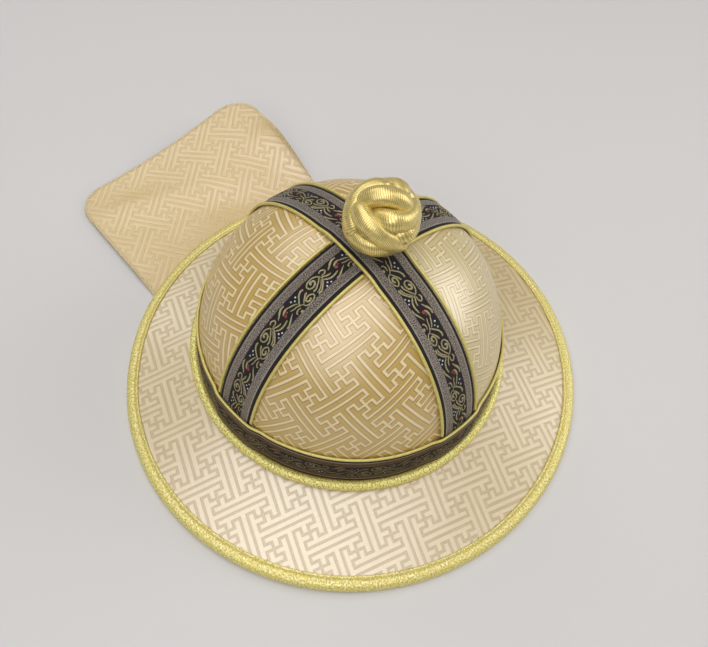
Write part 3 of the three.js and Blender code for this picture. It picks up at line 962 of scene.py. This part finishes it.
def binding_section(angle):
    """The binding's closed outline at one place round the brim."""
    edge = brim_reach(angle)
    lift = edge_lift(angle)
    drift = noise.noise(Vector((90 * sin(angle), 90 * cos(angle), 3.0)))
    pucker = 0.16 * drift + 0.07 * sin(angle * stitch_count)
    lip = edge - binding_width + pucker
    groove = lip + binding_groove

    def top(radius):
        return brim_top(angle, min(radius, edge - binding_channel)) + seam_gap

    below = brim_top(angle, lip) - brim_thickness - seam_gap
    slot_top = top(edge)
    slot_bottom = slot_top - brim_thickness - 2 * seam_gap
    middle = lift + brim_edge_top / 2
    outline = [
        (lip, top(lip)),
        (lip + 0.1, top(lip) + 0.55 * binding_cloth),
        (lip + 0.6, top(lip + 0.6) + binding_cloth),
        (groove - 0.4, top(groove) + 0.8 * binding_cloth),
        (groove, top(groove) + 0.35 * binding_cloth),
        (groove + 0.5, top(groove) + 0.9 * binding_cloth),
        (groove + 1.6, top(groove + 1.6) + binding_cloth + 0.25),
        (edge - 2.2, slot_top + binding_cloth + 0.2),
        (edge - 1.0, slot_top + binding_cloth - 0.45),
        (edge - 0.25, middle + 1.5),
        (edge, middle + 0.2),
        (edge - 0.25, middle - 1.1),
        (edge - 1.0, lift),
        (edge - 1.0 - binding_foot, lift),
        (lip + 0.4, below - 0.8 * binding_cloth),
        (lip, below - 0.3 * binding_cloth),
        (lip, below),
        (edge - binding_channel, slot_bottom),
        (edge - binding_channel, slot_top),
    ]
    return [polar(angle, radius + 0.06 * pucker, height) for radius, height in outline]


def ring(sides, section_at):
    """A closed outline carried round the hat."""
    sections = [section_at(2 * pi * i / sides) for i in range(sides)]
    around = lengths_along([*sections[0], sections[0][0]])
    along = lengths_along([section[0] for section in (*sections, sections[0])])
    faces = skin(sides, len(sections[0]), around, along, closed=True)
    return [point for section in sections for point in section], faces


points, faces = ring(1100, binding_section)
build(
    "brim_binding_lurex", points, faces, [binding_metal_cloth], ["brim_binding"],
    crease=75,
)


def add_form(points, faces, more, sides):
    """Adds the points and faces of one form to those of a piece."""
    first = len(points)
    points.extend(more)
    for corners, kind in sides:
        faces.append(([(number + first, place) for number, place in corners], kind))


def thread_pieces(name, paths, radius, material):
    """Short stitches of sewing thread, each along its own path, as one piece."""
    points = []
    faces = []

    def radius_at(share):
        return radius * (0.6 + 1.6 * share * (1 - share))

    for path in paths:
        add_form(points, faces, *tube(path, radius_at, 6))
    build(name, points, faces, [material])


def binding_stitch(number):
    """One machine stitch that dips into the cloth at both ends."""
    path = []
    covered = 0.78
    for share, height in ((0.0, -0.15), (0.25, 0.12), (0.5, 0.2), (0.75, 0.12), (1.0, -0.15)):
        angle = 2 * pi * (number + covered * share) / stitch_count
        radius = brim_reach(angle) - binding_width + binding_groove
        top = brim_top(angle, radius) + seam_gap + 0.35 * binding_cloth
        path.append(polar(angle, radius, top + height))
    return path


gold_thread = thread_material("gold_sewing_thread", (0.42, 0.34, 0.12), (0.72, 0.62, 0.30), 0.2)
stitches = [binding_stitch(number) for number in range(stitch_count)]
thread_pieces(
    "brim_binding_stitches", stitches, binding_thread_radius, gold_thread
)

# Base cord: a fat, soft cord wrapped in the same kind of metallic cloth. It is sewn down all the
# way round, over the seam where crown and brim meet.

cord_radius = 2.9
band_bottom = 22.6
band_top = 44.8
cord_ring = crown_radius_at(band_bottom) + seam_gap + 0.2 + cord_radius
cord_sides = 18
cord_metal_cloth = metal_cloth_material(
    "gold_metal_cloth_cord",
    dark=(0.48, 0.39, 0.04), light=(0.96, 0.87, 0.25), painted_glint=(1.0, 0.99, 0.68),
)


def cord_section(turn):
    """The cord's outline at one place round the hat, a little uneven."""
    section = []
    for k in range(cord_sides):
        angle = -2 * pi * k / cord_sides
        lump = noise.noise(Vector((30 * sin(turn), 30 * cos(turn), cos(angle))))
        radius = cord_radius * (1 + 0.035 * lump)
        height = brim_inner_top + seam_gap + cord_radius + radius * sin(angle)
        section.append(polar(turn, cord_ring + radius * cos(angle), height))
    return section


points, faces = ring(360, cord_section)
build("base_cord_lurex", points, faces, [cord_metal_cloth], ["base_cord"])

# Hat band: the same ribbon stands round the crown's foot on top of the other two. It is only
# caught at its lower edge, so its upper edge waves a little away from the crown.

band_on_crown = seam_gap + 0.1
band_on_ribbon = ribbon_cloth + 2 * seam_gap + 0.2
band_length = 2 * pi * (crown_radius_at((band_bottom + band_top) / 2) + ribbon_cloth)
band_repeats = round(band_length / repeat)
ribbon_feet = []
for lay in (front_back_ribbon, side_ribbon):
    for sign in (-1, 1):
        angle = sign * angle_at_height(lay["shift"], band_bottom)
        x, y, z = over_dome(lay, 0, angle, 0)
        ribbon_feet.append(atan2(x, y))

# The band is the ribbon in painted shade: its borders are darker and browner, and its scrolls and
# dots dimmer, than those of the two ribbons
band_ground_painted_shade = ribbon_material("brocade_band_painted_shade", (0.030, 0.013, 0.006), (0.17, 0.095, 0.05))
band_threads_painted_shade = [
    thread_material("band_scroll_gold", (0.06, 0.04, 0.018), (0.24, 0.19, 0.09), 0.1),
    thread_material("band_dot_red", (0.08, 0.008, 0.008), (0.20, 0.025, 0.025), 0.0),
    thread_material("band_dot_white", (0.14, 0.14, 0.13), (0.40, 0.39, 0.35), 0.0),
]


def band_stand_off(turn):
    """The band lies on the crown, and steps up where a ribbon's end is sewn in under it."""
    nearest = min(abs(remainder(turn - foot, 2 * pi)) for foot in ribbon_feet)
    half = ribbon_width / 2
    on_ribbon = 1 - smooth(nearest * crown_radius, half + 1, half + 9)
    return band_on_crown + (band_on_ribbon - band_on_crown) * on_ribbon


def band_wave(turn, share):
    """How far the band's upper edge stands away and rises at one place round the crown."""
    loose = noise.noise(Vector((2.4 * sin(turn), 2.4 * cos(turn), 0.7)))
    fine = noise.noise(Vector((7 * sin(turn), 7 * cos(turn), 4.2)))
    grows = share * share
    return grows * (0.1 + 0.6 * loose + 0.2 * fine), grows * (0.9 * loose + 0.5 * fine)


def band_point(turn, share, off_cloth):
    """A point of the band, off its inner face, from its lower edge (0) to its upper one (1)."""
    out, rise = band_wave(turn, share)
    height = band_bottom + (band_top - band_bottom) * share + rise
    radius = crown_radius_at(height) + band_stand_off(turn) + max(0.0, out) + off_cloth
    return polar(turn, radius, height)


def band_sheet_point(u, v, side):
    """A point of the band's face, side 0, or its back, side 1."""
    return band_point(2 * pi * u, 1 - v, (1 - side) * ribbon_cloth)


def band_place(u, v):
    """Where it is on the flat ribbon."""
    return u * band_length, (0.5 - v) * ribbon_width


points, faces = sheet(360, 10, band_sheet_point, band_place, closed=True)
build("hat_band_cloth", points, faces, [band_ground_painted_shade, band_ground_painted_shade], ["hat_band"])


def band_surface(along, across, height):
    """A point of the band from its place along and across, as ribbon_surface gives a ribbon's."""
    return band_point(2 * pi * along / band_length, 0.5 + across / ribbon_width, height)


band_period = band_length / band_repeats
woven_scrolls("hat_band_scrolls", band_surface, -9, band_length + 9, 0.0, band_period, band_threads_painted_shade)

# Band piping: the same satin-covered cord as beside the ribbons, sewn along the band's upper
# edge. It rises and falls with the band.

band_piping_drawn_in = 0.8


def band_piping_path():
    """The middle line of the piping that lies on the band's upper edge."""
    path = []
    for i in range(360):
        turn = 2 * pi * i / 360
        x, y, z = band_point(turn, 1.0, 0.5 * ribbon_cloth)
        path.append((x, y, z + seam_gap + piping_radius))
    return path


def band_piping_radius(share):
    """Its radius, the same all round."""
    return band_piping_drawn_in * piping_radius


points, faces = tube(band_piping_path(), band_piping_radius, 12, closed=True)
build("band_piping_satin", points, faces, [piping_satin], ["band_piping"])

# Button knot: a thick cotton cord covered in shiny ribbed gold satin, tied into a ball on the
# crossing of the ribbons. The strands wrap over and under each other all round it.

knot_low, knot_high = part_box("button_knot")
knot_centre = 500 * (knot_low + knot_high) - Vector((0, crown_y, 0))
strand_radius = 5.4

# The knot as it faces the viewer: each strand's middle line, to the right, up and towards the
# viewer from the ball's centre, in millimetres
knot_strands = [
    [
        (5.0, 9.5, 0.0), (2.0, 12.6, 1.8), (-2.6, 13.5, 2.8), (-7.8, 11.2, 3.8),
        (-11.8, 6.6, 4.2), (-13.8, 0.4, 3.8), (-13.2, -5.0, 2.6), (-10.8, -7.4, -0.4),
        (-6.6, -7.6, -5.0),
    ],
    [
        (-7.0, 4.4, 5.0), (-9.6, 1.4, 9.2), (-8.6, -2.2, 11.6), (-5.4, -6.2, 12.2),
        (-1.2, -9.8, 10.6), (3.4, -12.2, 6.8), (7.4, -12.4, 1.6), (8.6, -10.4, -4.0),
    ],
    [
        (-3.4, 0.2, 6.4), (0.6, -2.4, 10.8), (5.2, -3.9, 12.8), (9.8, -3.2, 10.4),
        (13.2, 0.0, 5.6), (14.2, 4.6, 0.6), (12.6, 8.2, -3.8), (8.0, 9.0, -8.2),
    ],
    [
        (-8.4, 4.6, 3.6), (-7.0, 6.8, 8.2), (-3.4, 7.8, 11.4), (1.8, 7.9, 12.6),
        (6.8, 6.6, 11.2), (10.2, 4.4, 7.6), (10.6, 1.2, 2.4),
    ],
    [
        (-12.4, -2.0, -3.6), (-13.0, -6.2, -0.8), (-10.6, -10.6, 1.4), (-5.4, -13.6, 2.8),
        (0.4, -14.0, 2.0), (5.0, -12.0, -1.6),
    ],
    [
        (6.4, -9.4, 5.0), (10.4, -8.8, 5.4), (13.3, -5.0, 2.8), (13.4, -1.0, -1.4),
        (11.0, 2.0, -6.2),
    ],
    [
        (13.0, 3.4, -4.4), (12.6, 7.6, -1.0), (8.8, 11.6, 0.6), (3.6, 14.0, -0.4),
        (-1.8, 13.8, -3.8), (-6.0, 10.6, -7.8),
    ],
]
knot_right = Vector((0.7506, -0.6563, 0.0762))
knot_up = Vector((0.5246, 0.6621, 0.5352))
knot_towards = knot_right.cross(knot_up)
knot_turns = [Matrix.Identity(3), Matrix.Rotation(pi, 3, knot_right + knot_up)]

knot_satin = satin_material(
    "gold_satin_knot", (0.55, 0.41, 0.09), (0.86, 0.73, 0.31),
    rib=0.72, rib_depth=0.00005, Roughness=0.3, Metallic=0.55, IOR=1.8,
)


def knot_piece():
    """All the strands, as seen from the front and again turned half round, as one piece."""
    points = []
    faces = []

    def radius_at(share):
        taper = smooth(min(share, 1 - share), -0.06, 0.12)
        return strand_radius * (0.72 + 0.28 * taper)

    for turn in knot_turns:
        for strand in knot_strands:
            path = []
            for x, y, z in smooth_line(strand, 10):
                offset = turn @ (knot_right * x + knot_up * y + knot_towards * z)
                path.append(knot_centre + offset)

            def up_at(i):
                return (path[i] - knot_centre).normalized()

            add_form(points, faces, *tube(path, radius_at, 28, up_at=up_at, squash=0.92))
    return build(
        "button_knot_satin", points, faces, [knot_satin], ["button_knot"], crease=80
    )


knot = knot_piece()

# Neck flap: a loose piece of damask from under the brim at the back. It lies on the surface with
# one corner lifted, and its edge is overcast by hand in cream thread.

flap_low, flap_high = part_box("neck_flap")
flap_left = 1000 * flap_low.x
flap_right = 1000 * flap_high.x
flap_far = 1000 * flap_high.y - crown_y
flap_seam = 97.0
flap_corner = 22.0
flap_hidden = 0.23
flap_stitch_pitch = 1.7
flap_thread_radius = 0.45

# How far the flap's underside stands off the surface, from the brim's edge (0) to its hem (1)
flap_heights = [
    {"along": 0.0, "left": 0.2, "middle": 0.2, "right": 0.2},
    {"along": 0.2, "left": 2.2, "middle": 3.6, "right": 5.5},
    {"along": 0.42, "left": 3.4, "middle": 5.4, "right": 15.0},
    {"along": 0.64, "left": 2.8, "middle": 4.8, "right": 23.0},
    {"along": 0.82, "left": 1.2, "middle": 4.2, "right": 25.0},
    {"along": 1.0, "left": 0.0, "middle": 4.4, "right": 24.0},
]


def flap_far_edge(x):
    """How far back the flap reaches, with its two far corners rounded."""
    inward = min(x - flap_left, flap_right - x)
    short = max(0.0, flap_corner - inward)
    return flap_far - flap_corner + sqrt(max(0.0, flap_corner**2 - short**2))


def height_along(column, share):
    """A smooth curve through one column of the heights."""
    rows = smooth_line([(row["along"], row[column]) for row in flap_heights], 8)
    return look_up(share, [along for along, height in rows], [height for along, height in rows])


height_steps = 60
share_steps = [i / height_steps for i in range(height_steps + 1)]
height_tables = [
    [height_along(column, share) for share in share_steps] for column in ("left", "middle", "right")
]


def flap_height(x, share):
    """Height of the flap's underside, from the brim's edge (0) to the hem (1)."""
    across = 2 * (x - flap_left) / (flap_right - flap_left) - 1
    left, middle, right = (look_up(share, share_steps, heights) for heights in height_tables)
    bow = (right + left) / 2 - middle
    # A soft crease runs slantwise over the flap, and the cloth beyond it lies a little higher
    past_crease = 0.42 * (x + 50) + 80 * (share - 0.62)
    crease = 3.6 * (smooth(past_crease, -13, 13) - 0.5) * sin(pi * min(share, 0.5))
    ripple = 0.5 * noise.noise(Vector((x / 30, share * 3, 1.3))) * sin(pi * share)
    arch = middle + (right - left) / 2 * across + bow * across * across
    return max(0.02, arch + crease * (1 - 0.5 * across * across) + ripple)


def flap_column(u):
    """The sideways place of a mesh line; the lines are closest at the flap's two sides."""
    eased = (1 - cos(pi * u)) / 2
    return flap_left + (flap_right - flap_left) * (0.25 * u + 0.75 * eased)


def flap_brim_edge(x):
    """How far back the brim's edge is above the flap."""
    return -brim_forward + brim_half_length * sqrt(1 - (x / brim_half_width) ** 2)


def flap_point(u, v, side):
    """A point of the flap's face, side 0, or its back, side 1."""
    x = flap_column(u)
    seam_y = sqrt(flap_seam**2 - x * x)
    edge_y = flap_brim_edge(x)
    cloth = (1 - side) * flap_cloth
    if v <= flap_hidden:
        y = seam_y + (edge_y - seam_y) * v / flap_hidden
        seam_z = brim_top(atan2(x, y), flap_seam) - brim_thickness - seam_gap - flap_cloth
        down = min(1.0, 1.5 * v / flap_hidden)
        return x, y, seam_z + (flap_heights[0]["middle"] - seam_z) * down + cloth
    share = (v - flap_hidden) / (1 - flap_hidden)
    y = edge_y + (flap_far_edge(x) - edge_y) * share
    return x, y, flap_height(x, share) + cloth


def flap_place(u, v):
    """Where it is on the flat cloth."""
    x, y, z = flap_point(u, v, 0)
    return on_cloth("neck_flap", x, y)


points, faces = sheet(90, 78, flap_point, flap_place)
# The flap's figure is darker than the crown's: painted sheen, for the light that falls on the flap
# from behind and leaves its lines darker than the ground
flap_damask = damask_material(
    "damask_flap", satin_gold, (0.62, 0.47, 0.23),
    sheen=0.8, figure_sheen=0.2, outline=0.14, half_line=0.19, depth=0.00034,
)
flap = build("neck_flap_cloth", points, faces, [flap_damask, backing], ["neck_flap"])


def flap_outline(pitch):
    """Points a pitch apart along the flap's free edge, each with its direction of travel."""
    shares = [i / 400 for i in range(401)]
    corners = [flap_point(0, flap_hidden + (1 - flap_hidden) * share, 0) for share in shares]
    corners += [flap_point(share, 1, 0) for share in shares[1:]]
    corners += [flap_point(1, 1 - (1 - flap_hidden) * share, 0) for share in shares[1:]]
    made = []
    travelled = 0.0
    for first, second in zip(corners, corners[1:]):
        step = dist(first[:2], second[:2])
        if step > 0 and travelled + step >= pitch:
            made.append((first, ((second[0] - first[0]) / step, (second[1] - first[1]) / step)))
            travelled -= pitch
        travelled += step
    return made


# A stitch's way over the edge: in from it, ahead along it, and down from the flap's face
overcast_way = [
    {"inward": 2.2, "ahead": 0.5, "down": -0.1},
    {"inward": 1.0, "ahead": 0.2, "down": -0.22},
    {"inward": -0.2, "ahead": 0.0, "down": 0.3},
    {"inward": -0.2, "ahead": 0.0, "down": 1.1},
    {"inward": 1.2, "ahead": -0.3, "down": 1.5},
]


def overcast_stitch(edge, travel):
    """Thread that goes over the flap's edge, from its face to its back."""
    path = []
    for step in overcast_way:
        x = edge[0] + step["inward"] * travel[1] + step["ahead"] * travel[0]
        y = edge[1] - step["inward"] * travel[0] + step["ahead"] * travel[1]
        span = flap_far_edge(x) - flap_brim_edge(x)
        share = min(1.0, max(0.0, (y - flap_brim_edge(x)) / span))
        path.append((x, y, max(0.3, flap_height(x, share) + flap_cloth - step["down"])))
    return path


cream_thread = thread_material("cream_sewing_thread", (0.55, 0.45, 0.26), (0.84, 0.76, 0.56), 0.0)
stitches = [overcast_stitch(edge, travel) for edge, travel in flap_outline(flap_stitch_pitch)]
thread_pieces("neck_flap_stitches", stitches, flap_thread_radius, cream_thread)

# The place: a plain pale floor under the hat, soft studio light, and a camera where the
# photograph was taken from.


def floor_piece():
    """A flat floor far wider than the view."""
    mesh = bpy.data.meshes.new("floor")
    reach = 9.0
    corners = [(-reach, -reach, 0), (reach, -reach, 0), (reach, reach, 0), (-reach, reach, 0)]
    mesh.from_pydata(corners, [], [(0, 1, 2, 3)])
    plane = bpy.data.objects.new("floor", mesh)
    bpy.context.collection.objects.link(plane)
    material = bpy.data.materials.new("pale_floor")
    material.use_nodes = True
    surface = material.node_tree.nodes["Principled BSDF"].inputs
    put((0.62, 0.615, 0.61), surface["Base Color"])
    put(0.8, surface["Roughness"])
    mesh.materials.append(material)


def soft_light(name, direction, distance, size, power, colour):
    """A square studio light that faces the hat from the given direction."""
    light = bpy.data.lights.new(name, "AREA")
    light.size = size
    light.energy = power
    light.color = colour
    lamp = bpy.data.objects.new(name, light)
    towards = Vector(direction).normalized()
    lamp.location = towards * distance
    lamp.rotation_euler = towards.to_track_quat("Z", "Y").to_euler()
    bpy.context.collection.objects.link(lamp)


floor_piece()
cool_white = (1.0, 0.97, 0.98)
warm_white = (1.0, 0.97, 0.94)
soft_light("back", (0.06, 0.66, 0.74), 1.5, size=0.75, power=3.6, colour=(1.0, 0.98, 0.95))
soft_light("key", (-0.08, -0.02, 1.0), 1.3, size=1.2, power=9, colour=cool_white)
soft_light("left", (-0.60, -0.34, 0.72), 1.6, size=1.0, power=6.5, colour=warm_white)
soft_light("right", (0.82, -0.50, 0.5), 1.5, size=0.9, power=7, colour=warm_white)
world = bpy.data.worlds.new("studio")
world.use_nodes = True
sky = world.node_tree.nodes["Background"].inputs
put((1.0, 0.985, 0.96), sky["Color"])
put(0.22, sky["Strength"])
bpy.context.scene.world = world
bpy.context.scene.view_settings.view_transform = "Standard"

focal_pixels = 700.0
image_width = 708.0
camera_data = bpy.data.cameras.new("camera")
camera_data.sensor_width = 36.0
camera_data.lens = 36.0 * focal_pixels / image_width
camera_data.shift_x = 0.0038
camera_data.shift_y = -0.0033
camera = bpy.data.objects.new("camera", camera_data)
view = Matrix((knot_right, knot_up, knot_towards)).transposed().to_4x4()
camera_place = Vector((-0.1691, 0.001 * crown_y - 0.1523, 0.3942))
camera.matrix_world = Matrix.Translation(camera_place) @ view
bpy.context.collection.objects.link(camera)
bpy.context.scene.camera = camera
